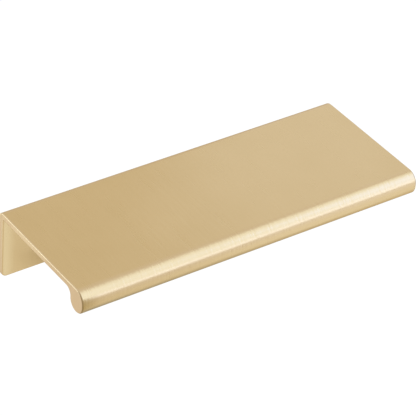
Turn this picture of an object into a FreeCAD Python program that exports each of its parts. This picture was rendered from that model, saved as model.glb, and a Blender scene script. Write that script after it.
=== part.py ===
import FreeCAD, Part
import math
import os
import Sketcher

# Tab pull for the top edge of a drawer front: one brass section, cut to length and drilled.
# A screw leg goes behind the drawer front, a flat plate lies over its top edge, and a beaded lip
# hangs from the front of the plate for the fingers to pull on.
# Millimetres. +X runs along the drawer front, -Y points into the room and +Z is up. The origin is
# midway between the two screw holes, on the leg's face that lies against the back of the drawer front.

# Driving dimensions. Each becomes one cell of the sheet, with the name as its alias.
SIZES = {
    "pull_length": 101.6,     # end to end
    "pull_depth": 39.7,       # back of the leg to front of the lip
    "pull_height": 19.8,      # top of the plate to foot of the leg
    "plate_thickness": 1.8,
    "leg_thickness": 2.4,
    "lip_depth": 5.7,         # lip, front to back; its lower edge is a full round
    "lip_height": 6.8,        # top of the plate to bottom of the lip
    "front_radius": 3.2,      # rounding from the plate's top into the lip's front
    "back_radius": 2.4,       # rounding from the plate's top into the leg's back
    "neck_radius": 1.9,       # hollow from the plate's underside into the lip's back
    "inner_radius": 0.5,      # hollow from the plate's underside into the leg
    "foot_radius": 1.5,       # lower corners of the leg
    "edge_break": 0.4,        # rounding of the cut ends and of the leg's foot
    "hole_drop": 9.0,         # plate's underside down to the screw holes
    "hole_inset": 12.7,       # each end of the pull to its screw hole
    "hole_diameter": 4.0,     # clearance for a 3.5 mm wood screw
    "sink_diameter": 7.2,     # countersink for the flat head of that screw
    "sink_angle": 82.0,       # full angle of the countersink, in degrees
}

NODE = "tab_pull"
SHARP_ANGLE = math.radians(30)   # faces that meet at more than this make a sharp edge
TOUCH = 1e-6                     # points nearer than this are in one place
ROUND_SHARE = 0.9                # most of a straight wall that a rounding may use up

# How a sketch counts the points of its lines, arcs and circles, and its own axes.
START, END, CENTRE = range(1, 4)
HORIZONTAL_AXIS, VERTICAL_AXIS = range(-1, -3, -1)
ORIGIN_POINT = (HORIZONTAL_AXIS, START)


def make_sheet(doc):
    sheet = doc.addObject("Spreadsheet::Sheet", "Sizes")
    for row, (name, value) in enumerate(SIZES.items(), start=1):
        sheet.set(f"A{row}", name)
        sheet.set(f"B{row}", str(value))
        sheet.setAlias(f"B{row}", name)
    doc.recompute()
    return sheet


def origin_plane(body, role):
    return next(plane for plane in body.Origin.OriginFeatures if plane.Role == role)


def make_sketch(body, name, role):
    sketch = body.newObject("Sketcher::SketchObject", name)
    sketch.AttachmentSupport = [(origin_plane(body, role), "")]
    sketch.MapMode = "FlatFace"
    return sketch


def dimension(sketch, name, kind, targets, expression):
    """Add a named driving constraint whose value follows an expression on the sheet."""
    value = float(sketch.evalExpression(expression))
    index = sketch.addConstraint(Sketcher.Constraint(kind, *targets, value))
    sketch.renameConstraint(index, name)
    sketch.setExpression(f"Constraints.{name}", expression)


def add_line(sketch, start, end):
    index = sketch.addGeometry(Part.LineSegment(FreeCAD.Vector(*start, 0), FreeCAD.Vector(*end, 0)))
    upright = start[0] == end[0]
    sketch.addConstraint(Sketcher.Constraint("Vertical" if upright else "Horizontal", index))
    return index


def add_arc(sketch, start, end, centre, clockwise):
    """Add the arc from start to end about a centre."""
    radius = math.dist(start, centre)
    angles = [math.atan2(point[1] - centre[1], point[0] - centre[0]) for point in (start, end)]
    if clockwise:
        angles.reverse()
    circle = Part.Circle(FreeCAD.Vector(*centre, 0), FreeCAD.Vector(0, 0, 1), radius)
    return sketch.addGeometry(Part.ArcOfCircle(circle, *angles))


def join(sketch, first, second):
    """Join two neighbours at their common end, smoothly if one of them is an arc."""
    ends = [(one, two) for one in (START, END) for two in (START, END)]
    one, two = min(ends, key=lambda pair: sketch.getPoint(first, pair[0]).distanceToPoint(
        sketch.getPoint(second, pair[1])))
    round_one = any(isinstance(sketch.Geometry[i], Part.ArcOfCircle) for i in (first, second))
    sketch.addConstraint(Sketcher.Constraint("Tangent" if round_one else "Coincident", first, one, second, two))


def make_section(body):
    """The section across the pull, in the plane X = 0: sketch x is Y and sketch y is Z."""
    sketch = make_sketch(body, "Section", "YZ_Plane")

    # A rounding follows its size, unless its wall is too short for it.
    lip_side = "(Sizes.lip_height - Sizes.lip_depth / 2)"
    neck_wall = f"({lip_side} - Sizes.plate_thickness)"
    radii = {
        "inner": "Sizes.inner_radius",
        "neck": f"min(Sizes.neck_radius; {ROUND_SHARE} * {neck_wall})",
        "front": f"min(Sizes.front_radius; {ROUND_SHARE} * {lip_side})",
        "back": "Sizes.back_radius",
    }
    inner, neck, front, back = [float(sketch.evalExpression(radius)) for radius in radii.values()]

    # Where the walls stand, to draw the outline close to its final place.
    under = SIZES["hole_drop"]
    top = under + SIZES["plate_thickness"]
    foot = top - SIZES["pull_height"]
    leg_back = SIZES["leg_thickness"]
    lip_front = leg_back - SIZES["pull_depth"]
    lip_back = lip_front + SIZES["lip_depth"]
    lip_axis = (lip_front + lip_back) / 2
    lip_centre = top - float(sketch.evalExpression(lip_side))

    leg_face = add_line(sketch, (0, foot), (0, under - inner))
    inner_arc = add_arc(sketch, (0, under - inner), (-inner, under), (-inner, under - inner), False)
    underside = add_line(sketch, (-inner, under), (lip_back + neck, under))
    neck_arc = add_arc(sketch, (lip_back + neck, under), (lip_back, under - neck),
                       (lip_back + neck, under - neck), False)
    lip_rear = add_line(sketch, (lip_back, under - neck), (lip_back, lip_centre))
    lip_arc = add_arc(sketch, (lip_back, lip_centre), (lip_front, lip_centre), (lip_axis, lip_centre), True)
    lip_face = add_line(sketch, (lip_front, lip_centre), (lip_front, top - front))
    front_arc = add_arc(sketch, (lip_front, top - front), (lip_front + front, top),
                        (lip_front + front, top - front), True)
    top_face = add_line(sketch, (lip_front + front, top), (leg_back - back, top))
    back_arc = add_arc(sketch, (leg_back - back, top), (leg_back, top - back),
                       (leg_back - back, top - back), True)
    back_face = add_line(sketch, (leg_back, top - back), (leg_back, foot))
    foot_face = add_line(sketch, (leg_back, foot), (0, foot))

    outline = [leg_face, inner_arc, underside, neck_arc, lip_rear, lip_arc,
               lip_face, front_arc, top_face, back_arc, back_face, foot_face]
    for first, second in zip(outline, outline[1:] + outline[:1]):
        join(sketch, first, second)

    sketch.addConstraint(Sketcher.Constraint("PointOnObject", leg_face, START, VERTICAL_AXIS))
    dimension(sketch, "hole_drop", "DistanceY", (*ORIGIN_POINT, underside, START), "Sizes.hole_drop")
    dimension(sketch, "plate_thickness", "DistanceY", (underside, END, top_face, START), "Sizes.plate_thickness")
    dimension(sketch, "pull_height", "DistanceY", (foot_face, START, top_face, END), "Sizes.pull_height")
    dimension(sketch, "leg_thickness", "DistanceX", (leg_face, START, back_face, END), "Sizes.leg_thickness")
    dimension(sketch, "pull_depth", "DistanceX", (lip_face, END, back_face, START), "Sizes.pull_depth")
    dimension(sketch, "lip_depth", "DistanceX", (lip_face, START, lip_rear, END), "Sizes.lip_depth")
    dimension(sketch, "lip_side", "DistanceY", (lip_face, START, top_face, START), lip_side)
    for arc, name in zip((inner_arc, neck_arc, front_arc, back_arc), radii):
        dimension(sketch, f"{name}_radius", "Radius", (arc,), radii[name])
    return sketch


def make_bar(doc, body, section):
    """The section drawn out to the pull's length, half to each side."""
    bar = body.newObject("PartDesign::Pad", "Bar")
    bar.Profile = section
    bar.SideType = "Symmetric"
    bar.setExpression("Length", "Sizes.pull_length")
    doc.recompute()
    return bar


def edge_names(shape, wanted):
    return [f"Edge{i}" for i, edge in enumerate(shape.Edges, start=1) if wanted(edge)]


def is_foot_corner(edge, foot):
    """A straight edge from front to back along the leg's foot, at either end of the pull."""
    ends = [vertex.Point for vertex in edge.Vertexes]
    on_foot = all(abs(end.z - foot) < TOUCH for end in ends)
    return on_foot and abs(ends[0].x - ends[-1].x) < TOUCH


def is_sharp(shape, edge):
    """Whether the two faces beside an edge meet at an angle there."""
    middle = edge.valueAt((edge.FirstParameter + edge.LastParameter) / 2)
    normals = [face.normalAt(*face.Surface.parameter(middle))
               for face in shape.ancestorsOfType(edge, Part.Face)]
    return normals[0].getAngle(normals[-1]) > SHARP_ANGLE


def round_edges(doc, body, name, base, edges, radius):
    rounding = body.newObject("PartDesign::Fillet", name)
    rounding.Base = (base, edges)
    rounding.setExpression("Radius", radius)
    doc.recompute()
    return rounding


def round_bar(doc, body, bar):
    """Round the leg's lower corners, then break every edge that the saw leaves sharp."""
    foot = bar.Shape.BoundBox.ZMin
    corners = edge_names(bar.Shape, lambda edge: is_foot_corner(edge, foot))
    shaped = round_edges(doc, body, "FootCorners", bar, corners, "Sizes.foot_radius")
    cut_edges = edge_names(shaped.Shape, lambda edge: is_sharp(shaped.Shape, edge))
    return round_edges(doc, body, "EdgeBreak", shaped, cut_edges, "Sizes.edge_break")


def make_screw_holes(doc, body, blank):
    """Two countersunk holes through the leg, sunk from its back face."""
    sketch = make_sketch(body, "ScrewHoles", "XZ_Plane")
    sketch.setExpression("AttachmentOffset.Base.z", "-Sizes.leg_thickness")
    spread = SIZES["pull_length"] / 2 - SIZES["hole_inset"]
    for side, place in (("left", -spread), ("right", spread)):
        circle = Part.Circle(FreeCAD.Vector(place, 0, 0), FreeCAD.Vector(0, 0, 1), SIZES["hole_diameter"] / 2)
        index = sketch.addGeometry(circle)
        centre = (index, CENTRE)
        sketch.addConstraint(Sketcher.Constraint("PointOnObject", *centre, HORIZONTAL_AXIS))
        ends = (*centre, *ORIGIN_POINT) if place < 0 else (*ORIGIN_POINT, *centre)
        dimension(sketch, f"{side}_spread", "DistanceX", ends, "Sizes.pull_length / 2 - Sizes.hole_inset")
        dimension(sketch, f"{side}_diameter", "Diameter", (index,), "Sizes.hole_diameter")
    doc.recompute()

    holes = body.newObject("PartDesign::Hole", "CountersunkHoles")
    holes.Profile = sketch
    holes.ThreadType = "None"
    holes.DepthType = "ThroughAll"
    holes.Reversed = True
    holes.HoleCutType = "Countersink"
    holes.HoleCutCustomValues = True
    holes.setExpression("Diameter", "Sizes.hole_diameter")
    holes.setExpression("HoleCutDiameter", "Sizes.sink_diameter")
    holes.setExpression("HoleCutCountersinkAngle", "Sizes.sink_angle")
    doc.recompute()

    bored = 2 * math.pi * (SIZES["hole_diameter"] / 2) ** 2 * SIZES["leg_thickness"]
    if blank.Shape.Volume - holes.Shape.Volume < bored:
        raise RuntimeError("the screw holes don't go through the leg")
    return holes


def check(doc, body):
    """Stop if any object of the document failed, or if the pull isn't one valid solid."""
    for item in doc.Objects:
        if "Invalid" in item.State or "Error" in item.State:
            raise RuntimeError(f"{item.Name} failed: {item.State}")
    shape = body.Shape
    if shape.isNull() or not shape.isValid() or len(shape.Solids) != 1:
        raise RuntimeError(f"{body.Label} is not one valid solid")


def main():
    doc = FreeCAD.newDocument("TabPull")
    make_sheet(doc)
    body = doc.addObject("PartDesign::Body", "TabPull")
    body.Label = NODE
    body.Placement = FreeCAD.Placement()

    section = make_section(body)
    bar = make_bar(doc, body, section)
    blank = round_bar(doc, body, bar)
    body.Tip = make_screw_holes(doc, body, blank)
    doc.recompute()

    check(doc, body)
    os.makedirs("parts", exist_ok=True)
    body.Shape.exportStep(f"parts/{body.Label}.step")


main()
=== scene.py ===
import math

import bpy
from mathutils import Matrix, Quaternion, Vector


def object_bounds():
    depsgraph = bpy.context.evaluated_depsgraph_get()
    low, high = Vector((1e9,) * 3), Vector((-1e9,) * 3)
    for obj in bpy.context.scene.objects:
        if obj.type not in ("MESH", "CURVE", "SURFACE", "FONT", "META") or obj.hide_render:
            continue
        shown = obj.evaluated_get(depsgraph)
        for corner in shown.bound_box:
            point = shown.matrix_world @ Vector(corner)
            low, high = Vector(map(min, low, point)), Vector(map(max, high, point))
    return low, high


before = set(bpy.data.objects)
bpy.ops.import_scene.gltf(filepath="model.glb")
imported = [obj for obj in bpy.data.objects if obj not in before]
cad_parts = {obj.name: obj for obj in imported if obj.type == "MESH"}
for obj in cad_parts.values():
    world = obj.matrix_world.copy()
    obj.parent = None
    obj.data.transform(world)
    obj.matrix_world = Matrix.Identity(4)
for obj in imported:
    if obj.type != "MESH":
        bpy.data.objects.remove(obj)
cad_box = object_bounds()

MM = 0.001
NODE = "tab_pull"

# Camera, from the photograph's perspective. Angles in degrees, lens and distance in millimetres.
LENS = 207.5
SENSOR = 36
CLIP_START = 0.01
CLIP_END = 20
AZIMUTH = -37.04
ELEVATION = 36.17
ROLL = 4.61
DISTANCE = 610
AIM = Vector((-0.21, -16.57, 5.27)) * MM

# Surroundings: the world's light, and a floor well below the pull.
AMBIENT = 1.0
FLOOR_TONE = 0.65
FLOOR_LIFT = 0.36
FLOOR_DROP = 700 * MM
FLOOR_REACH = 4

# Brass, as linear colours, under a thin clear coat.
DULL_BRASS = (0.575, 0.413, 0.198, 1)
BRIGHT_BRASS = (0.6, 0.435, 0.215, 1)
# Paler brass for the upper rounds: a painted highlight.
HIGHLIGHT_BRASS = (0.621, 0.465, 0.284, 1)
# Paler brass for the sawn ends: their own finish, and painted light.
CUT_AND_LIT_BRASS = (0.663, 0.486, 0.296, 1)
# Painted shade for the lip's broken edges.
EDGE_SHADE_BRASS = (0.27, 0.175, 0.07, 1)
METAL = {
    "Metallic": 1,
    "Specular Tint": (0.65, 0.55, 0.4, 1),
    "Coat Weight": 0.25,
    "Coat Roughness": 0.35,
    "Coat IOR": 1.5,
}

# Brush lines, in waves per metre across and along them, and the broad ones' scale beside the fine.
LINES_ACROSS = 1800
LINES_ALONG = 150
FINE_SHARE = 0.6
FINE_DETAIL = 3.0
BROAD_SCALE = 0.35

# Their depth, more of it on the upper rounds, where the metal is rubbed, and the roughness that they
# give.
LINE_DEPTH = 0.08 * MM
PLAIN_DEPTH = 0.7
WORN_DEPTH = 1.5
LINE_RANGE = (0.3, 0.7)
ROUGHNESS = (0.26, 0.34)

# Patches of tone, in waves per metre, and the range of lines and patches together.
PATCHES = 70
TONE_RANGE = (0.7, 1.3)

# A face turned this far to the side is a sawn end. An edge that looks ahead, on the lip, is darkened
# with painted shade.
CUT_FACING = 0.9
EDGE_FACING = (-0.1, -0.6)
LIP_BACK = cad_box[0].y + 7.3 * MM


class Tree:
    """Short calls for the nodes of one material or world."""

    def __init__(self, owner):
        owner.use_nodes = True
        self.nodes = owner.node_tree.nodes
        self.links = owner.node_tree.links

    def put(self, socket, value):
        """Link a socket to an output, or set its constant."""
        if isinstance(value, bpy.types.NodeSocket):
            self.links.new(value, socket)
        else:
            socket.default_value = value

    def node(self, kind, settings=(), **inputs):
        made = self.nodes.new(f"ShaderNode{kind}")
        for name, value in dict(settings).items():
            setattr(made, name, value)
        for name, value in inputs.items():
            self.put(made.inputs[name.replace("_", " ")], value)
        return made

    def math(self, operation, *values):
        made = self.node("Math", {"operation": operation})
        for socket, value in zip(made.inputs, values):
            self.put(socket, value)
        return made.outputs[0]

    def mix(self, kind, factor, first, second):
        """Blend two colours (kind RGBA) or two vectors (kind VECTOR)."""
        made = self.node("Mix", {"data_type": kind})
        inputs = [socket for socket in made.inputs if socket.enabled]
        for socket, value in zip(inputs, (factor, first, second)):
            self.put(socket, value)
        return next(socket for socket in made.outputs if socket.enabled)

    def ramp(self, value, start, stop, low=0.0, high=1.0):
        """Go from low to high while a value goes from start to stop."""
        made = self.node("MapRange", Value=value, From_Min=start, From_Max=stop, To_Min=low, To_Max=high)
        return made.outputs[0]

    def noise(self, place, scale, detail=2.0):
        return self.node("TexNoise", Vector=place, Scale=scale, Detail=detail).outputs[0]

    def fold(self, cosine):
        """Full half-way round a quarter turn and nothing at its ends, from the cosine of the turn."""
        return self.math("SINE", self.math("MULTIPLY", self.math("ARCCOSINE", cosine), 2.0))


def look_at_pull(name, data, azimuth, elevation, distance, roll=0):
    """Set a camera or lamp out from the pull and turn it to the pull.

    Angles are in degrees, from the front and from the level, and the distance is in millimetres.
    """
    azimuth, elevation, roll = map(math.radians, (azimuth, elevation, roll))
    way = Vector((
        math.sin(azimuth) * math.cos(elevation),
        -math.cos(azimuth) * math.cos(elevation),
        math.sin(elevation),
    ))
    made = bpy.data.objects.new(name, data)
    made.location = AIM + way * distance * MM
    made.rotation_mode = "QUATERNION"
    made.rotation_quaternion = (-way).to_track_quat("-Z", "Y") @ Quaternion((0, 0, 1), roll)
    bpy.context.scene.collection.objects.link(made)
    return made


def make_camera():
    data = bpy.data.cameras.new("camera")
    data.lens = LENS
    data.sensor_width = SENSOR
    data.clip_start = CLIP_START
    data.clip_end = CLIP_END
    bpy.context.scene.camera = look_at_pull("camera", data, AZIMUTH, ELEVATION, DISTANCE, ROLL)


def make_world():
    world = bpy.data.worlds.new("world")
    tree = Tree(world)
    tree.nodes.clear()
    light = tree.node("Background", Color=(1, 1, 1, 1), Strength=AMBIENT)
    tree.node("OutputWorld", Surface=light.outputs[0])
    bpy.context.scene.world = world


def make_sheet(name, corners, material):
    """A flat four-sided piece of the studio."""
    mesh = bpy.data.meshes.new(name)
    mesh.from_pydata(corners, [], [(0, 1, 2, 3)])
    mesh.materials.append(material)
    sheet = bpy.data.objects.new(name, mesh)
    bpy.context.scene.collection.objects.link(sheet)
    return sheet


def make_floor():
    material = bpy.data.materials.new("floor")
    tree = Tree(material)
    tree.nodes.clear()
    paper = tree.node("BsdfDiffuse", Color=(FLOOR_TONE, FLOOR_TONE, FLOOR_TONE, 1))
    lift = tree.node("Emission", Strength=FLOOR_LIFT)
    add = tree.node("AddShader")
    tree.put(add.inputs[0], paper.outputs[0])
    tree.put(add.inputs[1], lift.outputs[0])
    tree.node("OutputMaterial", Surface=add.outputs[0])
    level = cad_box[0].z - FLOOR_DROP
    signs = ((-1, -1), (1, -1), (1, 1), (-1, 1))
    make_sheet("floor", [(FLOOR_REACH * x, FLOOR_REACH * y, level) for x, y in signs], material)


def make_card(name, low, high, tone, fade=None):
    """A card that only the metal reflects, flat along one axis. Lengths in millimetres.

    A fade gives the places along X where the card is clear and where it is full.
    """
    material = bpy.data.materials.new(name)
    tree = Tree(material)
    tree.nodes.clear()
    surface = tree.node("Emission", Color=(*tone, 1), Strength=1.0).outputs[0]
    if fade:
        clear_at, full_at = fade
        spot = tree.node("SeparateXYZ", Vector=tree.node("TexCoord").outputs["Object"])
        share = tree.ramp(spot.outputs["X"], clear_at * MM, full_at * MM)
        blend = tree.node("MixShader", Fac=share)
        tree.put(blend.inputs[1], tree.node("BsdfTransparent").outputs[0])
        tree.put(blend.inputs[2], surface)
        surface = blend.outputs[0]
    tree.node("OutputMaterial", Surface=surface)

    first, second = [axis for axis in range(3) if low[axis] != high[axis]]
    after, before = list(low), list(low)
    after[first] = high[first]
    before[second] = high[second]
    corners = [Vector(corner) * MM for corner in (low, after, high, before)]
    card = make_sheet(name, corners, material)
    card.visible_camera = False
    card.visible_diffuse = False
    card.visible_shadow = False
    card.visible_transmission = False


def make_cards():
    """Cards close to the pull, placed from its box. The leg's inner face is at Y 0."""
    left, front, foot = (length / MM for length in cad_box[0])
    right, _, top = (length / MM for length in cad_box[1])

    # A dark card that paints shade into the reflection at the left corner of the lip.
    ahead = front - 4.7
    end = left + 7.8
    make_card(
        "corner_card", low=(left - 0.2, ahead, foot + 5), high=(end, ahead, top - 0.3),
        tone=(0.68, 0.63, 0.44), fade=(end, end - 5),
    )
    # Brightens the left edge of the leg's inner face.
    ahead = -3
    end = left + 5.3
    make_card(
        "leg_card", low=(left + 0.8, ahead, foot - 3), high=(end, ahead, top - 3.8),
        tone=(1.25, 1.38, 1.58), fade=(end, end - 2.5),
    )
    # A dark card that paints shade into the reflection along the lower edge of the lip, less so to the
    # right.
    below = foot - 3
    start = left + 5.8
    end = right + 9.2
    make_card(
        "under_card", low=(start, front - 5.7, below), high=(end, front + 7.3, below),
        tone=(0.7, 0.79, 0.96), fade=(end, start),
    )
    # A dark card that paints shade into the reflection on the lower part of the leg's inner face, away
    # from its left edge.
    below = foot - 0.5
    start = left + 6.8
    make_card(
        "foot_card", low=(start, -7, below), high=(right - 0.8, 0, below),
        tone=(0.7, 0.66, 0.58), fade=(start, start + 10),
    )
    # Brightens the left end of the plate.
    beside = left - 14.2
    make_card("end_card", low=(beside, 1, foot - 3), high=(beside, 16, foot + 6), tone=(1.4, 1.55, 1.6))


def add_softbox(name, azimuth, elevation, distance, width, height, radiance, colour):
    """A rectangular lamp that looks at the pull. Lengths in millimetres, angles in degrees."""
    data = bpy.data.lights.new(name, "AREA")
    data.shape = "RECTANGLE"
    data.size = width * MM
    data.size_y = height * MM
    data.energy = radiance * math.pi * data.size * data.size_y
    data.color = colour
    look_at_pull(name, data, azimuth, elevation, distance)


def make_lights():
    # The highlight along the front round, the part of the round below it, and its right end.
    add_softbox(
        "right_softbox", azimuth=45, elevation=34, distance=700, width=1120, height=1090,
        radiance=0.78, colour=(0.58, 0.85, 1),
    )
    add_softbox(
        "strip_softbox", azimuth=32, elevation=5, distance=600, width=900, height=160,
        radiance=0.88, colour=(0.38, 0.47, 1),
    )
    add_softbox(
        "near_softbox", azimuth=60, elevation=25, distance=220, width=150, height=150,
        radiance=0.89, colour=(0.135, 0.295, 1),
    )
    # The front of the lip.
    add_softbox(
        "low_softbox", azimuth=42, elevation=-27, distance=250, width=110, height=160,
        radiance=0.55, colour=(0.48, 0.645, 1),
    )
    # The right end of the top.
    add_softbox(
        "side_softbox", azimuth=129, elevation=27, distance=170, width=100, height=100,
        radiance=0.46, colour=(0.32, 0.5, 1),
    )
    # The sawn left end.
    add_softbox(
        "back_softbox", azimuth=227, elevation=-4, distance=350, width=250, height=250,
        radiance=1.58, colour=(0.66, 0.885, 1),
    )


def brush_lines(tree, place, cut):
    """Lines from front to back over the pull, and up and down its sawn ends."""
    across = tree.node("Mapping", Vector=place, Scale=(LINES_ACROSS, LINES_ALONG, LINES_ALONG))
    upright = tree.node("Mapping", Vector=place, Scale=(LINES_ALONG, LINES_ACROSS, LINES_ALONG))
    way = tree.mix("VECTOR", cut, across.outputs[0], upright.outputs[0])
    fine = tree.math("MULTIPLY", tree.noise(way, 1.0, FINE_DETAIL), FINE_SHARE)
    broad = tree.math("MULTIPLY", tree.noise(way, BROAD_SCALE), 1 - FINE_SHARE)
    return tree.math("ADD", fine, broad)


def lip_edges(tree, place, facing, side):
    """The broken edges at the front of the lip's two ends, where shade is painted."""
    ahead = tree.ramp(facing.outputs["Y"], *EDGE_FACING)
    spot = tree.node("SeparateXYZ", Vector=place)
    on_lip = tree.math("LESS_THAN", spot.outputs["Y"], LIP_BACK)
    return tree.math("MULTIPLY", tree.math("MULTIPLY", tree.fold(side), ahead), on_lip)


def make_brass():
    """Brushed brass: a painted highlight on the upper rounds, paler sawn ends with painted light,
    painted shade on the lip edges.
    """
    material = bpy.data.materials.new("satin_brass")
    tree = Tree(material)
    shader = tree.nodes["Principled BSDF"]
    for name, value in METAL.items():
        shader.inputs[name].default_value = value

    texture = tree.node("TexCoord")
    place = texture.outputs["Object"]
    facing = tree.node("SeparateXYZ", Vector=texture.outputs["Normal"])
    side = tree.math("ABSOLUTE", facing.outputs["X"])
    cut = tree.math("GREATER_THAN", side, CUT_FACING)
    # The upper rounds: deeper brush lines there, and a painted highlight in the colour.
    wear_and_highlight = tree.math("MAXIMUM", tree.fold(facing.outputs["Z"]), 0.0)
    # The lip's broken edges, which get painted shade.
    edges = lip_edges(tree, place, facing, side)

    lines = brush_lines(tree, place, cut)
    depth = tree.math("MULTIPLY", lines, tree.math("MULTIPLY_ADD", wear_and_highlight, WORN_DEPTH, PLAIN_DEPTH))
    bump = tree.node("Bump", Height=depth, Strength=1.0, Distance=LINE_DEPTH)
    tree.put(shader.inputs["Normal"], bump.outputs[0])
    tree.put(shader.inputs["Roughness"], tree.ramp(lines, *LINE_RANGE, *ROUGHNESS))

    shade = tree.ramp(tree.math("ADD", lines, tree.noise(place, PATCHES)), *TONE_RANGE)
    colour = tree.mix("RGBA", shade, DULL_BRASS, BRIGHT_BRASS)
    # Paler upper rounds: a painted highlight.
    colour = tree.mix("RGBA", wear_and_highlight, colour, HIGHLIGHT_BRASS)
    # Paler sawn ends: their own finish, and painted light.
    colour = tree.mix("RGBA", cut, colour, CUT_AND_LIT_BRASS)
    # Painted shade on the lip's broken edges.
    colour = tree.mix("RGBA", edges, colour, EDGE_SHADE_BRASS)
    tree.put(shader.inputs["Base Color"], colour)
    return material


make_camera()
make_world()
make_floor()
make_cards()
make_lights()
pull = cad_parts[NODE]
pull.data.materials.clear()
pull.data.materials.append(make_brass())

scene = bpy.context.scene
scene.view_settings.view_transform = "Standard"
